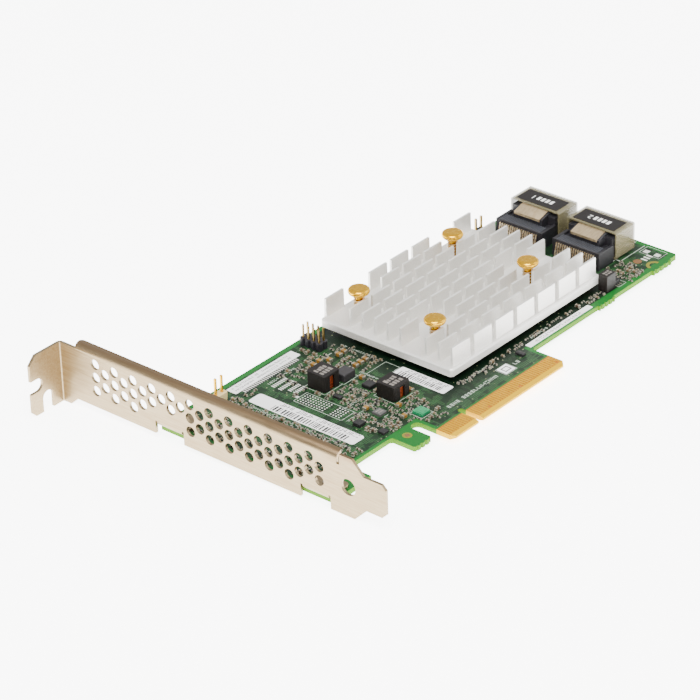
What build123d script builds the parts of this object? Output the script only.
# Storage controller card: circuit board, vented bracket, pinned heatsink and two capped cable ports.
#
# Frame: X runs along the card away from the bracket, Y from the contact edge to the top edge,
# Z up from the board's component side. The origin is the key notch's centre line at the
# contact edge, on the component side. All sizes are in millimetres.

import os
from math import atan, cos, degrees, pi, sin, sqrt

from build123d import *

# Sides of each small round hole and turned piece, as wide as the circle of the same area
round_sides = 10

# How far a cutting block runs past the face that it cuts
beyond = 1.0

# Circuit board
board_thickness = 1.57
board_length = 167.65
board_height = 68.9
board_left = -56.75
bay_edge_y = 13.2
rear_edge_y = 12.2
tongue_left = -12.15
tongue_right = 39.15
tongue_corner = 1.2
key_width = 1.9
key_depth = 8.0
slot_end_fullness = 0.98
bevel_run = 1.4
bevel_depth = 0.45
bracket_foot_width = 15.15
bracket_foot_y = 5.0
tongue_foot_left = -23.1
tongue_foot_right = -15.8
tongue_foot_y = 4.6
board_corner_chamfer = 0.7
break_off_height = 0.7
break_offs_from_right = [(39.9, 32.4), (12.9, 3.9)]
bite_width = 0.8
bites_per_tab = 4

# Edge contacts
contact_pitch = 1.0
contact_width = 0.7
contact_thickness = 0.06
contact_low_y = 1.5
contact_high_y = 5.6
short_contact_low_y = 2.6
contact_to_key = 1.5
contacts_before_key = 11
contacts_after_key = 38
short_front_contacts = [17, 31, 48]
short_rear_contacts = [1]

# Bracket, one folded sheet
sheet = 0.9
bracket_gap = 0.45
bracket_top_z = 15.93
bracket_low_z = -2.45
flange_reach = 2.92
flange_bend_radius = 2.0
flange_start_y = 3.0
flange_end_y = 99.2
flange_corner_radius = 1.2
bend_overlap = 0.4
slit_width = 1.0
slit_depth = 1.2
shoulder_y = -2.3
tongue_root_y = -6.3
tongue_tip_y = -13.95
tongue_top_z = 11.9
tongue_low_z = 1.7
tongue_chamfer = 1.4
bracket_slope_start_y = -3.0
pilot_hole_y = -0.95
pilot_hole_z = 6.8
pilot_hole_diameter = 5.0
neck_start_y = 99.4
neck_slope = 2.8
neck_low_z = -5.0
neck_top_z = 14.2
tab_face_y = 105.144
tab_bend_radius = 1.3
tab_reach = 12.3
tab_corner_chamfer = 2.6
screw_slot_z = 4.45
screw_slot_width = 4.2
screw_slot_depth = 4.6
relief_left = -66.1
relief_width = 4.1
relief_top_z = 1.2
ear_chamfer = 1.4

# Vent holes, in alternating columns of three and two
vent_diameter = 3.1
vent_columns = 24
vent_first_y = 91.7
vent_column_pitch = 3.587
vent_low_z = 2.9
vent_row_pitch = 4.275
vents_left_out = [(6, 0), (7, 0), (8, 0), (9, 0), (22, 0)]

# Board tabs of the bracket and their screws
upper_tab_from_top = 5.0
lower_tab_y = 10.7
board_tab_width = 9.2
board_tab_relief = 0.7
board_tab_length = 9.0
board_tab_bend_radius = 1.5
board_tab_notch_z = 1.6
board_tab_corner = 1.2
screw_x = -52.9
screw_diameter = 2.8
screw_hole_clearance = 0.05
board_screw_hole = 3.2
screw_head_diameter = 5.2
screw_head_height = 1.2
screw_head_crown = 0.75
screw_recess_width = 0.7
screw_recess_length = 3.0
screw_recess_depth = 0.6
screw_end_above_tab = 0.8

# Controller chip, pad and heatsink
chip_left_of_sink_centre = 4.7
chip_above_sink_centre = 2.85
chip_substrate_size = 27.0
chip_substrate_height = 0.9
chip_mould_size = 21.0
chip_mould_height = 0.75
pad_thickness = 0.35
pad_size = 20.0
sink_left = 9.6
sink_front_y = 18.0
sink_to_port = 7.9
sink_to_top_edge = 2.0
sink_base_height = 2.5
sink_corner_chamfer = 0.8
sink_edge_chamfer = 0.4
fin_height = 6.0
fin_length = 8.0
fin_root = 1.0
fin_tip = 0.7
fin_inset_x = 1.75
fin_pitch_x = 9.92
fin_inset_y = 0.7
fin_pitch_y = 4.68

# Fins left out round each pin, in columns and rows from the fin beside it
gaps_at_left_pins = [(0, 0), (1, 0), (1, -1)]
gaps_at_right_pins = [(0, 0), (0, -1), (1, 0)]

# Heatsink push-pins and springs
pin_from_sink_left = 9.0
pin_from_sink_right = 18.25
pin_from_sink_back = 7.5
pin_from_sink_front = 13.2
pin_head_diameter = 6.6
pin_head_height = 2.3
pin_head_top_above_fins = 2.8
pin_head_crown = 0.5
pin_head_taper = 1.3
pin_head_rim_diameter = 6.4
pin_head_top_diameter = 5.5
pin_collar_diameter = 3.2
pin_collar_height = 0.4
pin_shaft_diameter = 2.2
pin_hole_clearance = 0.25
pin_barb_diameter = 3.1
pin_barb_shoulder = 0.4
pin_barb_length = 1.9
pin_tip_diameter = 1.54
spring_wire = 0.5
spring_outer_diameter = 3.9
spring_turns = 4
spring_steps_per_turn = 6
spring_seat_clearance = 0.05

# Cable ports
upper_port_from_top = 14.2
port_spacing = 21.4
port_rear_to_board_end = 22.8
port_width = 17.4
port_rear_length = 7.4
port_length = 16.3
port_rim_z = 5.6
port_rim_width = 1.0
port_recess_depth = 0.9
port_rib_count = 9
port_rib_width = 0.5
port_rib_height = 0.45
port_nose_width = 16.2
port_nose_low_z = 1.2
port_nose_top_z = 7.6
port_tower_width = 11.0
port_socket_width = 13.0
port_socket_height = 3.2
port_socket_depth = 5.0
port_socket_low_z = 2.9
latch_width = 9.6
latch_from_port_rear = 3.9
latch_rear_z = 7.6
latch_slope_run = 4.2
latch_crest_z = 8.75
latch_from_port_front = 1.2
latch_sheet = 0.4
latch_lip_height = 0.9
tail_count = 18
tail_pitch = 0.8
tail_width = 0.38
tail_exit_z = 4.85
tail_thickness = 0.4
tail_foot_reach = 1.6

# Dust caps and their labels
cap_from_port_rear = 8.0
cap_past_port_front = 1.5
cap_width = 18.4
cap_low_z = 0.4
cap_top_z = 9.4
cap_wall = 0.5
cap_edge_chamfer = 0.4
cap_label_inset = 0.7
cap_label_length = 6.8
cap_label_width = 15.2
label_thickness = 0.12

# Pin headers. Here and below, "up" is a place's share of the board's height
header_body_height = 2.5
header_tail_below_board = 1.3
header_tip_chamfer = 0.2
header_corner_share = 0.3
bracket_header = dict(x=-37.5, up=0.9289, columns=2, rows=1, pitch=2.54, pin=0.64, top=8.0)
main_header = dict(x=2.2, up=0.9144, columns=2, rows=4, pitch=2.0, pin=0.5, top=6.8)
rear_header = dict(from_port_rear=4.85, up=0.9637, columns=2, rows=1, pitch=2.54, pin=0.64, top=7.0)

# Wound chokes
large_choke = dict(x=-13.0, up=0.6734, length=6.8, depth=6.8, height=5.2)
small_choke = dict(x=-4.75, up=0.402, length=7.0, depth=7.0, height=4.6)
choke_corner = 0.5
choke_window_width = 2.0
choke_window_depth = 1.3
choke_window_margin = 0.8
winding_clearance = 0.15
winding_strip = 0.8

# Other parts on the board
tall_choke = dict(from_port_rear=5.1, from_edge=14.6, length=4.3, depth=3.3, height=5.5)
moulded_choke = dict(x=-6.0, up=0.6459, length=5.0, depth=4.0, height=2.4)
regulator_chip = dict(x=-5.55, up=0.5189, length=3.1, depth=3.1, height=1.2)
memory_chip = dict(x=-15.2, up=0.3483, length=3.0, depth=3.0, height=0.9)
driver_chip = dict(x=-22.5, up=0.2409, length=2.2, depth=2.2, height=0.9)
coupler_block = dict(x=-23.5, up=0.3556, length=2.6, depth=2.6, height=1.3)
oscillator = dict(x=-7.7, up=0.2192, length=3.6, depth=3.6, height=1.0)
part_edge_chamfer = 0.17
lid_margin = 0.45
lid_height = 0.15

# Transistors, each with three leads
transistors = [(-15.7, 0.5617), (34.6, 0.1858)]
transistor_length = 2.9
transistor_width = 1.4
transistor_height = 1.0
transistor_edge_chamfer = 0.35
lead_pitch = 1.93
lead_overlap = 0.1
lead_width = 0.4
lead_reach = 0.55
lead_thickness = 0.2

# Ceramic capacitors, and the axis that each runs along
capacitors = [(-6.5, 0.8084, "Y"), (-3.9, 0.8084, "Y"), (-1.6, 0.7823, "Y"), (2.4, 0.7794, "Y")]
capacitors += [(4.6, 0.7794, "Y")]
capacitors += [(0.6, 0.6676, "Y"), (2.8, 0.6676, "Y"), (5.0, 0.6676, "Y"), (-3.4, 0.5835, "Y")]
capacitors += [(-8.9, 0.3222, "X"), (-15.8, 0.4122, "X"), (-0.4, 0.3628, "Y"), (-12.6, 0.2511, "X")]
capacitor_length = 2.0
capacitor_width = 1.25
capacitor_height = 0.95
capacitor_end = 0.4
capacitor_end_wrap = 0.04

# Paper labels, the last two by the front edge
top_label = dict(x=-17.95, up=0.9369, length=27.9, depth=3.7)
bracket_label = dict(x=-30.0, up=0.5559, length=5.4, depth=38.6)
middle_label = dict(x=6.25, up=0.3752, length=4.9, depth=18.7)
edge_label_left = 39.5
edge_label_from_port_rear = 18.7
edge_label_low_y = 12.9
edge_label_depth = 2.0
square_label_left = 23.4
square_label_low_y = 9.2
square_label_length = 4.3
square_label_depth = 3.65

# Places that follow from the sizes above
board_right = board_left + board_length
board_back_z = -board_thickness
bracket_foot_right = board_left + bracket_foot_width
break_offs = [(board_right - start, board_right - end) for start, end in break_offs_from_right]
board_tab_centres_y = [board_height - upper_tab_from_top, lower_tab_y]
plate_inner_x = board_left - bracket_gap
plate_outer_x = plate_inner_x - sheet
tab_outer_x = plate_outer_x - tab_reach
port_rear_x = board_right - port_rear_to_board_end
port_shoulder_x = port_rear_x + port_rear_length
port_front_x = port_rear_x + port_length
port_centres_y = [board_height - upper_port_from_top, board_height - upper_port_from_top - port_spacing]
latch_rear_x = port_rear_x + latch_from_port_rear
latch_crest_x = latch_rear_x + latch_slope_run
latch_front_x = port_front_x - latch_from_port_front
latch_slope = (latch_crest_z - latch_rear_z) / latch_slope_run
cap_rear_x = port_rear_x + cap_from_port_rear
cap_front_x = port_front_x + cap_past_port_front
sink_length = port_rear_x - sink_to_port - sink_left
sink_width = board_height - sink_to_top_edge - sink_front_y
sink_base_z = chip_substrate_height + chip_mould_height + pad_thickness
sink_top_z = sink_base_z + sink_base_height
fin_top_z = sink_top_z + fin_height
fin_first_x = sink_left + fin_inset_x
fin_back_y = sink_front_y + sink_width - fin_inset_y
fin_columns = int((sink_length - sink_edge_chamfer) / fin_pitch_x)
fin_rows = int((sink_width - 2 * fin_inset_y) / fin_pitch_y) + 1
chip_centre_x = sink_left + sink_length / 2 - chip_left_of_sink_centre
chip_centre_y = sink_front_y + sink_width / 2 + chip_above_sink_centre
pin_top_z = fin_top_z + pin_head_top_above_fins
pin_collar_low_z = pin_top_z - pin_head_height - pin_collar_height
pin_xs = [sink_left + pin_from_sink_left, sink_left + sink_length - pin_from_sink_right]
pin_ys = [sink_front_y + sink_width - pin_from_sink_back, sink_front_y + pin_from_sink_front]
pin_places = [(x, y) for x in pin_xs for y in pin_ys]
pin_hole_diameter = pin_shaft_diameter + 2 * pin_hole_clearance
rear_header["x"] = port_rear_x - rear_header["from_port_rear"]
headers = [bracket_header, main_header, rear_header]


def block(x0, x1, y0, y1, z0, z1):
    """A box between opposite corners."""
    centre = Pos((x0 + x1) / 2, (y0 + y1) / 2, (z0 + z1) / 2)
    return centre * Box(x1 - x0, y1 - y0, z1 - z0)


def rectangle(x0, x1, y0, y1):
    """A flat rectangle between opposite corners."""
    return Pos((x0 + x1) / 2, (y0 + y1) / 2) * Rectangle(x1 - x0, y1 - y0)


def outline(*points):
    """A flat face inside a closed run of points."""
    return make_face(Polyline(*points, close=True))


def rounded(face, *corners):
    """The face with each named corner, given as x, y and radius, made round."""
    for x, y, radius in corners:
        corner = face.vertices().sort_by_distance((x, y, 0))[0]
        face = fillet(corner, radius)
    return face


def bevelled(face, size, *corners):
    """The face with each named corner cut off."""
    for x, y in corners:
        face = chamfer(face.vertices().sort_by_distance((x, y, 0))[0], size)
    return face


def disc(diameter):
    """A small flat disc, with as many sides as the sheet's round holes."""
    turn = 2 * pi / round_sides
    reach = diameter / 2 * sqrt(turn / sin(turn))
    return RegularPolygon(reach, round_sides, rotation=180 / round_sides)


def drill(x, y, diameter, z0, z1):
    """A vertical round bar, used to cut a hole."""
    return extrude(Pos(x, y, z0) * disc(diameter), z1 - z0)


def turned(profile):
    """A turned piece on the Z axis, from its diameters and heights, lowest first."""
    rings = []
    for (low_diameter, low_z), (high_diameter, high_z) in zip(profile, profile[1:]):
        if high_z > low_z:
            rise = high_z - low_z
            inset = abs(low_diameter - high_diameter) / 2 * cos(pi / round_sides)
            wide = disc(max(low_diameter, high_diameter))
            ring = extrude(wide, rise, taper=degrees(atan(inset / rise)))
            turn_over = Pos(0, 0, high_z) * Rot(180, 0, 0)
            rings.append((turn_over if high_diameter > low_diameter else Pos(0, 0, low_z)) * ring)
    return rings[0] + rings[1:]


def header_pins_at(header):
    """Centres of a header's pins."""
    across = [(i - (header["columns"] - 1) / 2) * header["pitch"] for i in range(header["columns"])]
    along = [(j - (header["rows"] - 1) / 2) * header["pitch"] for j in range(header["rows"])]
    return [(header["x"] + a, header["up"] * board_height + b) for a in across for b in along]


def part_edges(part):
    """Left, right, front and back edges of a part, at its share of the board's height."""
    x, half = part["x"], part["length"] / 2
    y, half_depth = part["up"] * board_height, part["depth"] / 2
    return x - half, x + half, y - half_depth, y + half_depth


def board_face():
    """The board's outline with its tongue, feet, bays and break-off tabs."""
    face = rectangle(board_left, board_right, rear_edge_y, board_height)
    face += rectangle(board_left, tongue_left, bracket_foot_y, rear_edge_y + beyond)
    face += rectangle(tongue_left, tongue_right, 0, rear_edge_y + beyond)
    face -= rectangle(bracket_foot_right, tongue_foot_left, 0, bay_edge_y)
    face -= rectangle(tongue_foot_right, tongue_left, 0, bay_edge_y)
    face += rectangle(tongue_foot_left, tongue_foot_right, tongue_foot_y, rear_edge_y)
    for start, end in break_offs:
        face += rectangle(start, end, rear_edge_y - break_off_height, rear_edge_y + beyond)
    slot_radius = (tongue_left - tongue_foot_right) / 2
    face = rounded(
        face,
        (tongue_foot_right, bay_edge_y, slot_radius * slot_end_fullness),
        (tongue_left, bay_edge_y, slot_radius * slot_end_fullness),
    )
    face = bevelled(
        face,
        board_corner_chamfer,
        (board_right, board_height),
        (board_right, rear_edge_y),
        (board_left, board_height),
        (bracket_foot_right, bay_edge_y),
        (tongue_foot_left, bay_edge_y),
        (tongue_foot_left, tongue_foot_y),
        (tongue_foot_right, tongue_foot_y),
        (tongue_right, rear_edge_y),
    )
    face = bevelled(face, tongue_corner, (tongue_left, 0), (tongue_right, 0))
    key_radius = key_width / 2
    face -= rectangle(-key_radius, key_radius, -beyond, key_depth - key_radius)
    face -= Pos(0, key_depth - key_radius) * Circle(key_radius)
    tabs = [(start, end, rear_edge_y - break_off_height) for start, end in break_offs]
    tabs.append((tongue_foot_left, tongue_foot_right, tongue_foot_y))
    for start, end, y in tabs:
        step = (end - start) / bites_per_tab
        for i in range(bites_per_tab):
            face -= Pos(start + step * (i + 0.5), y) * RegularPolygon(bite_width / 2, 6)
    return face


def circuit_board():
    """The board: outline, bevelled contact edge and every hole that something passes."""
    board = extrude(board_face(), -board_thickness)
    for z, way in ((0, -1), (board_back_z, 1)):
        foot_z = z + way * bevel_depth
        wedge = outline((-beyond, z), (-beyond, foot_z), (0, foot_z), (bevel_run, z))
        start = Plane.YZ.offset(tongue_left - beyond)
        board -= extrude(start * wedge, tongue_right - tongue_left + 2 * beyond)
    holes = [drill(x, y, pin_hole_diameter, board_back_z - beyond, beyond) for x, y in pin_places]
    holes += [drill(screw_x, y, board_screw_hole, board_back_z - beyond, beyond) for y in board_tab_centres_y]
    for header in headers:
        half = header["pin"] / 2
        for x, y in header_pins_at(header):
            holes.append(block(x - half, x + half, y - half, y + half, board_back_z - beyond, beyond))
    return board - holes


def contact_places(short_numbers):
    """Centre and lower end of each contact, counted from the bracket end."""
    places = []
    for number in range(1, contacts_before_key + contacts_after_key + 1):
        if number <= contacts_before_key:
            x = -contact_to_key - (contacts_before_key - number) * contact_pitch
        else:
            x = contact_to_key + (number - contacts_before_key - 1) * contact_pitch
        low = short_contact_low_y if number in short_numbers else contact_low_y
        places.append((x, low))
    return places


def edge_contacts(short_numbers, z0, z1):
    """One side's row of gold contacts."""
    half = contact_width / 2
    places = contact_places(short_numbers)
    return [block(x - half, x + half, low, contact_high_y, z0, z1) for x, low in places]


def bracket_plate():
    """The flat plate in the YZ plane, with its notches, slit and holes cut."""
    bend_z = bracket_top_z - flange_bend_radius
    face = outline(
        (flange_end_y, bend_z),
        (flange_end_y, neck_top_z),
        (tab_face_y - tab_bend_radius, neck_top_z),
        (tab_face_y - tab_bend_radius, neck_low_z),
        (neck_start_y + neck_slope, neck_low_z),
        (neck_start_y, bracket_low_z),
        (bracket_slope_start_y, bracket_low_z),
        (bracket_slope_start_y - (tongue_low_z - bracket_low_z), tongue_low_z),
        (tongue_tip_y + tongue_chamfer, tongue_low_z),
        (tongue_tip_y, tongue_low_z + tongue_chamfer),
        (tongue_tip_y, tongue_top_z - tongue_chamfer),
        (tongue_tip_y + tongue_chamfer, tongue_top_z),
        (tongue_root_y, tongue_top_z),
        (shoulder_y, bracket_top_z),
        (flange_start_y, bracket_top_z),
        (flange_start_y, bend_z),
    )
    slit_low = bend_z - slit_depth
    face -= rectangle(flange_start_y - slit_width, flange_start_y, slit_low, bracket_top_z + beyond)
    face -= Pos(pilot_hole_y, pilot_hole_z) * Circle(pilot_hole_diameter / 2)
    for y in board_tab_centres_y:
        half = board_tab_width / 2 + board_tab_relief
        face -= rectangle(y - half, y + half, bracket_low_z - beyond, board_tab_notch_z)
    for column in range(vent_columns):
        y = vent_first_y - column * vent_column_pitch
        offset = 0 if column % 2 == 0 else vent_row_pitch / 2
        for row in range(3 if column % 2 == 0 else 2):
            if (column, row) not in vents_left_out:
                face -= Pos(y, vent_low_z + offset + row * vent_row_pitch) * disc(vent_diameter)
    return extrude(Plane.YZ.offset(plate_outer_x) * face, sheet)


def bend_section(x_far, z_far, z_near, radius):
    """An L in the XZ plane: up the plate to z_near, and along a flange at z_far."""
    way = 1 if z_far > z_near else -1
    face = outline(
        (plate_outer_x, z_near),
        (plate_outer_x, z_far),
        (x_far, z_far),
        (x_far, z_far - way * sheet),
        (plate_inner_x, z_far - way * sheet),
        (plate_inner_x, z_near),
    )
    inner = radius - sheet
    return rounded(face, (plate_outer_x, z_far, radius), (plate_inner_x, z_far - way * sheet, inner))


def along_y(face, y0, y1):
    """The XZ face swept straight from y0 to y1."""
    return extrude(Plane.XZ.offset(-y0) * face, -(y1 - y0))


def bracket_flange():
    """The top flange, bent towards the card."""
    x_far = plate_outer_x + flange_reach
    near_z = bracket_top_z - flange_bend_radius - bend_overlap
    section = bend_section(x_far, bracket_top_z, near_z, flange_bend_radius)
    flange = along_y(section, flange_start_y, flange_end_y)
    upright = flange.edges().filter_by(Axis.Z).group_by(Axis.X)[-1]
    return fillet(upright, flange_corner_radius)


def bracket_board_tab(y):
    """One board tab, bent in under the plate and lying on the board."""
    x_far = plate_outer_x + board_tab_length
    section = bend_section(x_far, 0, board_tab_notch_z, board_tab_bend_radius)
    tab = along_y(section, y - board_tab_width / 2, y + board_tab_width / 2)
    upright = tab.edges().filter_by(Axis.Z).group_by(Axis.X)[-1]
    tab = fillet(upright, board_tab_corner)
    return tab - drill(screw_x, y, screw_diameter + 2 * screw_hole_clearance, -beyond, sheet + beyond)


def bracket_screw_tab():
    """The tab that the chassis screw holds, bent away from the card at the bracket's top end."""
    near_y = tab_face_y - tab_bend_radius
    far_y = tab_face_y + sheet
    section = outline(
        (plate_inner_x, near_y),
        (plate_inner_x, far_y),
        (tab_outer_x, far_y),
        (tab_outer_x, tab_face_y),
        (plate_outer_x, tab_face_y),
        (plate_outer_x, near_y),
    )
    outer = tab_bend_radius
    inner = tab_bend_radius - sheet
    section = rounded(section, (plate_inner_x, far_y, outer), (plate_outer_x, tab_face_y, inner))
    tab = extrude(Pos(0, 0, neck_low_z) * section, neck_top_z - neck_low_z)
    side = rectangle(tab_outer_x, plate_inner_x + beyond, neck_low_z, neck_top_z)
    slot_end = tab_outer_x + screw_slot_depth
    slot_radius = screw_slot_width / 2
    slot_low = screw_slot_z - slot_radius
    slot_high = screw_slot_z + slot_radius
    side = chamfer(side.vertices().sort_by_distance((tab_outer_x, neck_top_z, 0))[0], tab_corner_chamfer)
    side = chamfer(side.vertices().sort_by_distance((tab_outer_x, neck_low_z, 0))[0], ear_chamfer)
    side -= rectangle(tab_outer_x - beyond, slot_end - slot_radius, slot_low, slot_high)
    side -= Pos(slot_end - slot_radius, screw_slot_z) * Circle(slot_radius)
    relief_radius = relief_width / 2
    relief_x = relief_left + relief_radius
    relief_end_z = relief_top_z - relief_radius
    side -= rectangle(relief_left, relief_left + relief_width, neck_low_z - beyond, relief_end_z)
    side -= Pos(relief_x, relief_end_z) * Circle(relief_radius)
    return tab & along_y(side, near_y - beyond, far_y + beyond)


def bracket():
    """The whole bracket as one folded sheet."""
    pieces = [bracket_flange(), bracket_screw_tab()]
    pieces += [bracket_board_tab(y) for y in board_tab_centres_y]
    return bracket_plate() + pieces


def bracket_screw(y):
    """A pan-head screw from the solder side, threaded into the board tab."""
    low = board_back_z - screw_head_height
    rim = low + screw_head_height / 2
    profile = [(screw_head_diameter * screw_head_crown, low), (screw_head_diameter, rim)]
    profile += [(screw_head_diameter, board_back_z), (screw_diameter, board_back_z)]
    profile.append((screw_diameter, sheet + screw_end_above_tab))
    screw = Pos(screw_x, y, 0) * turned(profile)
    for dx, dy in ((screw_recess_length, screw_recess_width), (screw_recess_width, screw_recess_length)):
        x0, y0 = screw_x - dx / 2, y - dy / 2
        screw -= block(x0, x0 + dx, y0, y0 + dy, low - beyond, low + screw_recess_depth)
    return screw


def fin(column, row):
    """One tapered fin, columns and rows counted from 1 at the back left."""
    x = fin_first_x + (column - 1) * fin_pitch_x
    y = fin_back_y - (row - 1) * fin_pitch_y
    root = fin_root / 2
    tip = fin_tip / 2
    low = sink_top_z - sink_base_height / 2
    section = outline((y - root, low), (y + root, low), (y + tip, fin_top_z), (y - tip, fin_top_z))
    return extrude(Plane.YZ.offset(x) * section, fin_length)


def fins_left_out():
    """Columns and rows of the fins that make room for the pins."""
    left_out = []
    for x, gaps in zip(pin_xs, (gaps_at_left_pins, gaps_at_right_pins)):
        column = int((x - fin_first_x) / fin_pitch_x) + 1
        for y in pin_ys:
            row = round((fin_back_y - y) / fin_pitch_y) + 1
            left_out += [(column + across, row + along) for across, along in gaps]
    return left_out


def heatsink():
    """Base plate with its field of fins, holed for the pins."""
    base = block(
        sink_left,
        sink_left + sink_length,
        sink_front_y,
        sink_front_y + sink_width,
        sink_base_z,
        sink_top_z,
    )
    base = chamfer(base.edges().filter_by(Axis.Z), sink_corner_chamfer)
    base = chamfer(base.faces().sort_by(Axis.Z)[-1].edges(), sink_edge_chamfer)
    places = [(c, r) for c in range(1, fin_columns + 1) for r in range(1, fin_rows + 1)]
    left_out = fins_left_out()
    fins = [fin(c, r) for c, r in places if (c, r) not in left_out]
    low, high = sink_base_z - beyond, sink_top_z + beyond
    holes = [drill(x, y, pin_hole_diameter, low, high) for x, y in pin_places]
    return (base + fins) - holes


def heatsink_pin(x, y):
    """A turned push-pin: crowned head, collar, shaft, and barb below the board."""
    head_low = pin_top_z - pin_head_height
    profile = [
        (pin_tip_diameter, board_back_z - pin_barb_length),
        (pin_barb_diameter, board_back_z - pin_barb_shoulder),
        (pin_barb_diameter, board_back_z),
        (pin_shaft_diameter, board_back_z),
        (pin_shaft_diameter, pin_collar_low_z),
        (pin_collar_diameter, pin_collar_low_z),
        (pin_collar_diameter, head_low),
        (pin_head_diameter, head_low + pin_head_taper),
        (pin_head_rim_diameter, pin_top_z - pin_head_crown),
        (pin_head_top_diameter, pin_top_z),
    ]
    return Pos(x, y, 0) * turned(profile)


def pin_spring(x, y):
    """The coil spring between the heatsink base and a pin's collar."""
    radius = (spring_outer_diameter - spring_wire) / 2
    seat = spring_wire / 2 + spring_seat_clearance
    low = sink_top_z + seat
    rise = pin_collar_low_z - seat - low
    steps = spring_turns * spring_steps_per_turn
    points = []
    for i in range(steps + 1):
        angle = 2 * pi * i / spring_steps_per_turn
        points.append((radius * cos(angle), radius * sin(angle), low + rise * i / steps))
    path = Polyline(*points)
    half_step = pi / spring_steps_per_turn
    start = Plane(origin=path @ 0, x_dir=(cos(half_step), sin(half_step), 0), z_dir=path % 0)
    wire = start * Rectangle(spring_wire, spring_wire)
    return Pos(x, y, 0) * sweep(wire, path, transition=Transition.RIGHT)


def controller_chip():
    """The controller package: laminate with a moulded body."""
    half = chip_substrate_size / 2
    mould = chip_mould_size / 2
    x, y = chip_centre_x, chip_centre_y
    top = chip_substrate_height
    chip = block(x - half, x + half, y - half, y + half, 0, top)
    return chip + block(x - mould, x + mould, y - mould, y + mould, top, top + chip_mould_height)


def thermal_pad():
    """The pad between chip and heatsink."""
    half = pad_size / 2
    x, y = chip_centre_x, chip_centre_y
    return block(x - half, x + half, y - half, y + half, sink_base_z - pad_thickness, sink_base_z)


def port_housing(y):
    """Moulded housing: rimmed rear block, latch tower and nose with its socket."""
    half = port_width / 2
    housing = block(port_rear_x, port_shoulder_x, y - half, y + half, 0, port_rim_z)
    recess_half = half - port_rim_width
    floor_z = port_rim_z - port_recess_depth
    recess_left = port_rear_x + port_rim_width
    end_x, high = port_shoulder_x + beyond, port_rim_z + beyond
    housing -= block(recess_left, end_x, y - recess_half, y + recess_half, floor_z, high)
    nose = port_nose_width / 2
    top = port_nose_top_z
    housing += block(port_shoulder_x, port_front_x, y - nose, y + nose, port_nose_low_z, top)
    crest = latch_crest_z - latch_sheet
    tower_x = latch_rear_x + latch_sheet
    tower = outline(
        (tower_x, floor_z),
        (tower_x, latch_rear_z + latch_slope * latch_sheet - latch_sheet),
        (latch_crest_x, crest),
        (port_front_x, crest),
        (port_front_x, floor_z),
    )
    tower_half = port_tower_width / 2
    housing += along_y(tower, y - tower_half, y + tower_half)
    pitch = 2 * recess_half / port_rib_count
    for i in range(port_rib_count):
        rib_y = y - recess_half + pitch * (i + 0.5)
        rib_half = port_rib_width / 2
        rib_top = floor_z + port_rib_height
        housing += block(recess_left, tower_x, rib_y - rib_half, rib_y + rib_half, floor_z, rib_top)
    socket = port_socket_width / 2
    socket_top = port_socket_low_z + port_socket_height
    socket_x = port_front_x - port_socket_depth
    housing -= block(socket_x, port_front_x + beyond, y - socket, y + socket, port_socket_low_z, socket_top)
    return housing


def port_contacts(y):
    """The row of contact tails behind a port, soldered to the board."""
    section = outline(
        (port_rear_x, tail_exit_z),
        (port_rear_x - tail_thickness, tail_exit_z),
        (port_rear_x - tail_foot_reach, 0),
        (port_rear_x - tail_foot_reach + tail_thickness, 0),
    )
    tails = []
    for i in range(tail_count):
        tail_y = y + (i - (tail_count - 1) / 2) * tail_pitch
        tails.append(along_y(section, tail_y - tail_width / 2, tail_y + tail_width / 2))
    return tails


def port_latch(y):
    """The sprung sheet-metal latch plate on top of a port."""
    inner_x = latch_rear_x + latch_sheet
    section = outline(
        (latch_rear_x, latch_rear_z),
        (latch_crest_x, latch_crest_z),
        (latch_front_x, latch_crest_z),
        (latch_front_x, latch_crest_z - latch_sheet),
        (latch_crest_x, latch_crest_z - latch_sheet),
        (inner_x, latch_rear_z + latch_slope * latch_sheet - latch_sheet),
        (inner_x, latch_rear_z - latch_lip_height),
        (latch_rear_x, latch_rear_z - latch_lip_height),
    )
    return along_y(section, y - latch_width / 2, y + latch_width / 2)


def dust_cap(y):
    """The thin moulded cap over a port's nose, open towards the heatsink."""
    half = cap_width / 2
    cap = block(cap_rear_x, cap_front_x, y - half, y + half, cap_low_z, cap_top_z)
    cap = chamfer(cap.faces().sort_by(Axis.X)[-1].edges() + cap.edges().filter_by(Axis.X), cap_edge_chamfer)
    inner = half - cap_wall
    cap -= block(
        cap_rear_x - beyond,
        cap_front_x - cap_wall,
        y - inner,
        y + inner,
        cap_low_z + cap_wall,
        cap_top_z - cap_wall,
    )
    return cap


def cap_label(y):
    """The black label on a cap's top."""
    half = cap_label_width / 2
    x0 = cap_rear_x + cap_label_inset
    x1 = x0 + cap_label_length
    return block(x0, x1, y - half, y + half, cap_top_z, cap_top_z + label_thickness)


def header_body(header):
    """A header's moulded strip, notched between its pins and holed for them."""
    half = header["pitch"] / 2
    x0 = header["x"] - half * header["columns"]
    x1 = header["x"] + half * header["columns"]
    y0 = header["up"] * board_height - half * header["rows"]
    y1 = header["up"] * board_height + half * header["rows"]
    body = block(x0, x1, y0, y1, 0, header_body_height)
    body = chamfer(body.edges().filter_by(Axis.Z), half * header_corner_share)
    pin = header["pin"] / 2
    for x, y in header_pins_at(header):
        body -= block(x - pin, x + pin, y - pin, y + pin, -beyond, header_body_height + beyond)
    return body


def header_pins(header):
    """A header's square pins, from below the board to their pointed tips."""
    half = header["pin"] / 2
    low = board_back_z - header_tail_below_board
    pins = []
    for x, y in header_pins_at(header):
        post = block(x - half, x + half, y - half, y + half, low, header["top"])
        pins.append(chamfer(post.faces().sort_by(Axis.Z)[-1].edges(), header_tip_chamfer))
    return pins


def moulded_block(left, right, front, back, height):
    """A moulded block standing on the board, with its top edges eased."""
    body = block(left, right, front, back, 0, height)
    return chamfer(body.faces().sort_by(Axis.Z)[-1].edges(), part_edge_chamfer)


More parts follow.
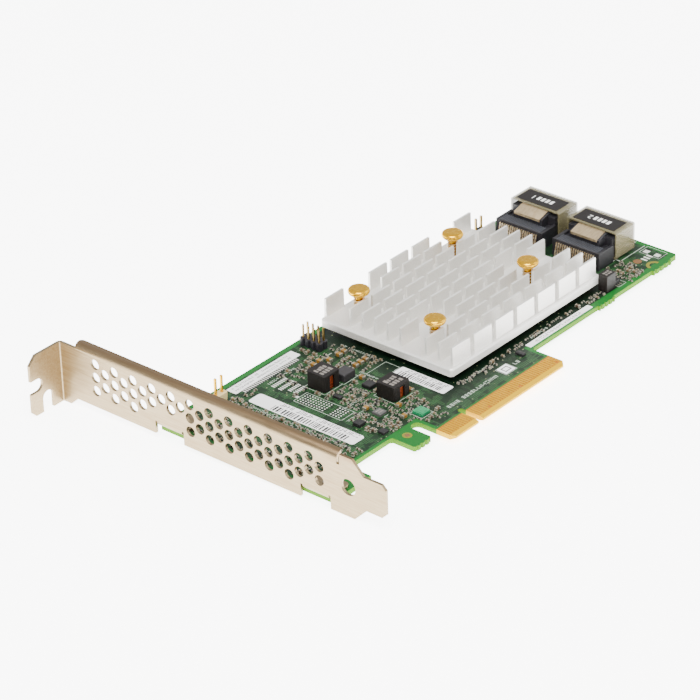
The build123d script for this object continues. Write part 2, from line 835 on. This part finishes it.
def tall_choke_block():
    """The tall choke between the heatsink's far corner and the ports."""
    right = port_rear_x - tall_choke["from_port_rear"]
    left = right - tall_choke["length"]
    front = tall_choke["from_edge"]
    return moulded_block(left, right, front, front + tall_choke["depth"], tall_choke["height"])


def choke_core(choke):
    """A ferrite core with a window in its front and back faces for the winding."""
    left, right, front, back = part_edges(choke)
    core = block(left, right, front, back, 0, choke["height"])
    core = chamfer(core.edges().filter_by(Axis.Z), choke_corner)
    middle = (left + right) / 2
    x0, x1 = middle - choke_window_width / 2, middle + choke_window_width / 2
    top = choke["height"] - choke_window_margin
    core -= block(x0, x1, front - beyond, front + choke_window_depth, -beyond, top)
    core -= block(x0, x1, back - choke_window_depth, back + beyond, -beyond, top)
    return core


def choke_winding(choke):
    """The copper strip that shows in the core's two windows."""
    left, right, front, back = part_edges(choke)
    middle = (left + right) / 2
    half = choke_window_width / 2 - winding_clearance
    top = choke["height"] - choke_window_margin - winding_clearance
    front += choke_window_depth
    back -= choke_window_depth
    strips = []
    for y0, y1 in ((front - winding_strip, front), (back, back + winding_strip)):
        strips.append(block(middle - half, middle + half, y0, y1, 0, top))
    return strips


def lidded_part(part):
    """The oscillator: ceramic tray with a raised metal lid."""
    left, right, front, back = part_edges(part)
    top = part["height"]
    tray = block(left, right, front, back, 0, top - lid_height)
    lid = block(left + lid_margin, right - lid_margin, front + lid_margin, back - lid_margin, 0, top)
    return tray + lid


def transistor(x, up):
    """A three-lead transistor with flat leads on the board."""
    y = up * board_height
    length = transistor_length / 2
    width = transistor_width / 2
    body = block(x - width, x + width, y - length, y + length, 0, transistor_height)
    body = chamfer(body.faces().sort_by(Axis.Z)[-1].edges(), transistor_edge_chamfer)
    half = lead_width / 2
    places = [(-1, -lead_pitch / 2), (-1, lead_pitch / 2), (1, 0)]
    for side, dy in places:
        x0, x1 = sorted((x + side * (width - lead_overlap), x + side * (width + lead_reach)))
        body += block(x0, x1, y + dy - half, y + dy + half, 0, lead_thickness)
    return body


def capacitor(x, up, axis, x0, x1, wrap):
    """A slice of a ceramic capacitor, from x0 to x1 along its length."""
    y = up * board_height
    half = capacitor_width / 2 + wrap
    top = capacitor_height + wrap
    if axis == "X":
        return block(x + x0, x + x1, y - half, y + half, 0, top)
    return block(x - half, x + half, y + x0, y + x1, 0, top)


def capacitor_bodies():
    """The brown ceramic middles."""
    half = capacitor_length / 2 - capacitor_end
    return [capacitor(x, up, axis, -half, half, 0) for x, up, axis in capacitors]


def capacitor_ends():
    """The tinned end caps, two to a capacitor."""
    outer = capacitor_length / 2
    inner = outer - capacitor_end
    ends = [capacitor(x, up, axis, -outer, -inner, capacitor_end_wrap) for x, up, axis in capacitors]
    return ends + [capacitor(x, up, axis, inner, outer, capacitor_end_wrap) for x, up, axis in capacitors]


def paper_label(left, right, front, back):
    """A paper label lying on the board."""
    return block(left, right, front, back, 0, label_thickness)


def edge_label():
    """The long label between the heatsink and the contact edge."""
    right = port_rear_x - edge_label_from_port_rear
    return paper_label(edge_label_left, right, edge_label_low_y, edge_label_low_y + edge_label_depth)


def square_label():
    """The small square label beside the contact edge."""
    right = square_label_left + square_label_length
    return paper_label(square_label_left, right, square_label_low_y, square_label_low_y + square_label_depth)


def save(name, solids):
    """Writes one node's STEP file."""
    pieces = solids if isinstance(solids, list) else [solids]
    export_step(Compound(children=[piece.solid() for piece in pieces]), f"parts/{name}.step")


os.makedirs("parts", exist_ok=True)
save("circuit_board", circuit_board())
save("edge_contacts_front", edge_contacts(short_front_contacts, 0, contact_thickness))
save("edge_contacts_rear", edge_contacts(short_rear_contacts, board_back_z - contact_thickness, board_back_z))
save("bracket", bracket())
save("bracket_screws", [bracket_screw(y) for y in board_tab_centres_y])
save("heatsink", heatsink())
save("heatsink_pins", [heatsink_pin(x, y) for x, y in pin_places])
save("pin_springs", [pin_spring(x, y) for x, y in pin_places])
save("controller_chip", controller_chip())
save("thermal_pad", thermal_pad())
for number, centre_y in enumerate(port_centres_y, 1):
    save(f"port_housing_{number}", port_housing(centre_y))
    save(f"port_contacts_{number}", port_contacts(centre_y))
    save(f"port_latch_{number}", port_latch(centre_y))
    save(f"dust_cap_{number}", dust_cap(centre_y))
    save(f"cap_label_{number}", cap_label(centre_y))
for name, header in (("bracket", bracket_header), ("main", main_header), ("rear", rear_header)):
    save(f"{name}_header_body", header_body(header))
    save(f"{name}_header_pins", header_pins(header))
for name, choke in (("large", large_choke), ("small", small_choke)):
    save(f"{name}_choke_core", choke_core(choke))
    save(f"{name}_choke_winding", choke_winding(choke))
save("tall_choke", tall_choke_block())
save("moulded_choke", moulded_block(*part_edges(moulded_choke), moulded_choke["height"]))
save("regulator_chip", moulded_block(*part_edges(regulator_chip), regulator_chip["height"]))
save("memory_chip", moulded_block(*part_edges(memory_chip), memory_chip["height"]))
save("driver_chip", moulded_block(*part_edges(driver_chip), driver_chip["height"]))
save("coupler_block", moulded_block(*part_edges(coupler_block), coupler_block["height"]))
save("oscillator", lidded_part(oscillator))
save("transistors", [transistor(x, up) for x, up in transistors])
save("capacitor_bodies", capacitor_bodies())
save("capacitor_ends", capacitor_ends())
save("top_label", paper_label(*part_edges(top_label)))
save("bracket_label", paper_label(*part_edges(bracket_label)))
save("middle_label", paper_label(*part_edges(middle_label)))
save("edge_label", edge_label())
save("square_label", square_label())
